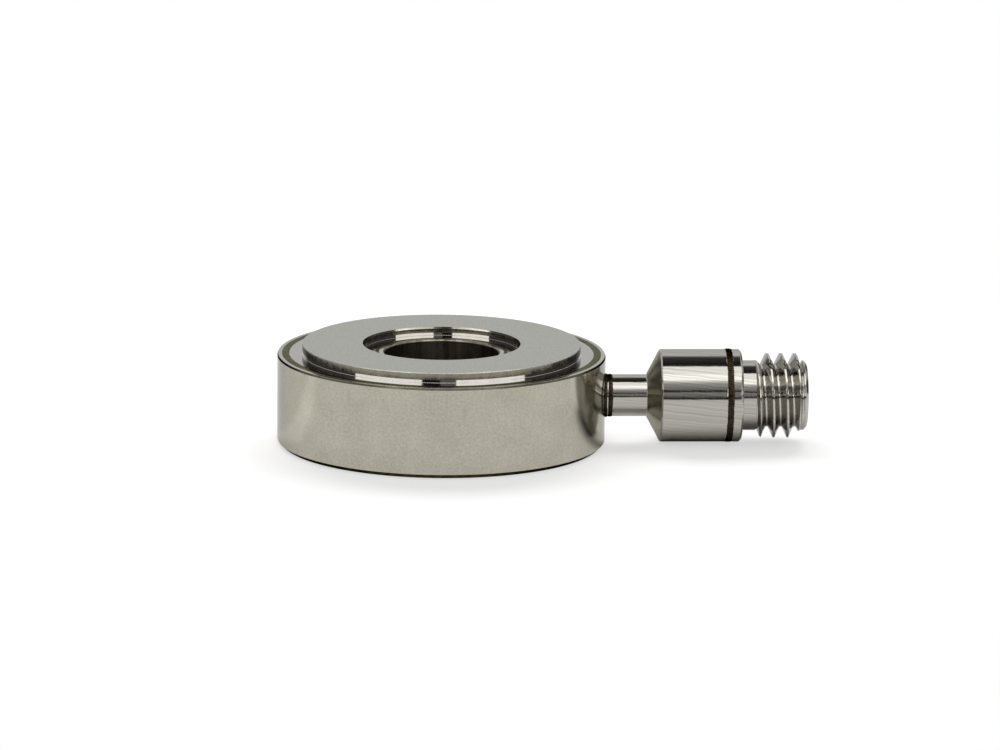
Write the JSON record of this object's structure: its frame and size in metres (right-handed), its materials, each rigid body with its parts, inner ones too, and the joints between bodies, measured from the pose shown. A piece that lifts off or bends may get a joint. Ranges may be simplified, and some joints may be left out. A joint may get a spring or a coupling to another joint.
{
  "type": "piezoelectric force sensor",
  "caption": "Flat stainless ring force washer with a raised load face, a bolt bore and a radial coaxial screw connector on a slim stem.",
  "frame": {"origin": "on the bolt bore's axis, in the plane of the base face", "axes": "+Z along the bore from the base to the raised load face, +X along the connector axis away from the ring"},
  "size_m": [0.0302, 0.0186, 0.0057],
  "materials": {
    "housing_steel": "finely turned and polished stainless steel",
    "cover_steel": "lapped load face, polished membranes",
    "connector_steel": "bright turned stainless steel",
    "quartz": "lapped quartz",
    "electrode_foil": "bright foil",
    "white_insulation": "turned white PTFE",
    "seal_glass": "fused seal glass",
    "contact_gold": "gold plated",
    "lead_copper": "drawn copper wire"
  },
  "bodies": {
    "root": {"housing": "housing_steel", "load_ring": "cover_steel", "lower_quartz_ring": "quartz", "electrode_ring": "electrode_foil", "upper_quartz_ring": "quartz", "inner_insulator": "white_insulation", "outer_insulator": "white_insulation", "connector_stem": "connector_steel", "connector_shell": "connector_steel", "glass_seal": "seal_glass", "contact_insulator": "white_insulation", "centre_contact": "contact_gold", "barrel_insulator": "white_insulation", "lead_sleeve": "white_insulation", "signal_lead": "lead_copper"}
  },
  "joints": []
}
